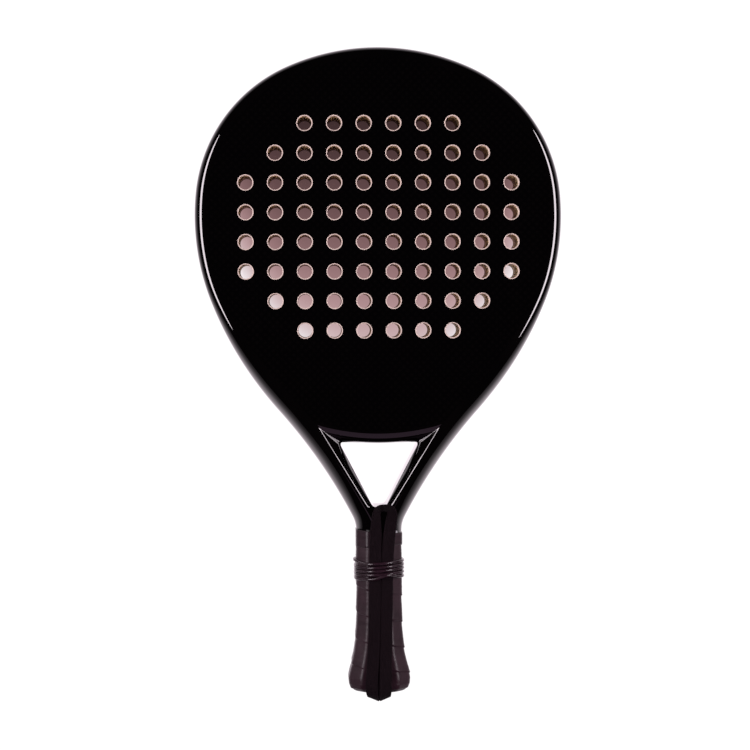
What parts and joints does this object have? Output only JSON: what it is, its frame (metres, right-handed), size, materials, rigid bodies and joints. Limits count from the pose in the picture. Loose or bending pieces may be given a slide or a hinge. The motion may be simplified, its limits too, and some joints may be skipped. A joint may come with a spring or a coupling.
{
  "type": "padel racket",
  "caption": "Foam-core padel racket with a drilled teardrop head, an open triangular throat, a wrapped grip and a wrist strap tied along the handle.",
  "frame": {"origin": "on the surface under the racket, below the middle of its length and width, with the racket lying on its rear face", "axes": "+X across the racket, +Y along it from the butt towards the head, +Z out of the front face"},
  "size_m": [0.2586, 0.4616, 0.0388],
  "materials": {
    "lacquered_frame": "black gloss lacquer over carbon fibre composite",
    "lacquered_laminate": "black gloss lacquer over glass fibre laminate, with pale cut fibres at the drilled holes",
    "core_foam": "matte cream EVA foam with cut cells",
    "filler_foam": "matte foam",
    "handle_foam": "matte moulded polyurethane foam",
    "cap_plastic": "fine moulded texture",
    "staple_steel": "drawn wire",
    "grip_leather": "smooth synthetic leather with a soft sheen",
    "end_tape": "thin stretched tape, satin",
    "strap_webbing": "matte ribbed polyester webbing",
    "tie_elastic": "glossy elastic cord"
  },
  "bodies": {
    "racket": {"head_tube": "lacquered_frame", "left_arm_tube": "lacquered_frame", "right_arm_tube": "lacquered_frame", "front_face_skin": "lacquered_laminate", "rear_face_skin": "lacquered_laminate", "foam_core": "core_foam", "throat_bridge": "lacquered_frame", "throat_web": "lacquered_frame", "bridge_foam": "filler_foam", "handle_spacer": "filler_foam", "handle_shell_front": "handle_foam", "handle_shell_rear": "handle_foam", "butt_cap": "cap_plastic", "cap_staples": "staple_steel", "base_grip": "grip_leather", "grip_end_tape": "end_tape", "wrist_strap": "strap_webbing", "strap_knot": "strap_webbing"},
    "tie": {"strap_tie": "tie_elastic"}
  },
  "joints": [
    {"name": "tie_slide", "type": "slide", "parent": "racket", "child": "tie", "axis": [0, 1, 0], "range_m": [-0.035, 0.01]}
  ]
}
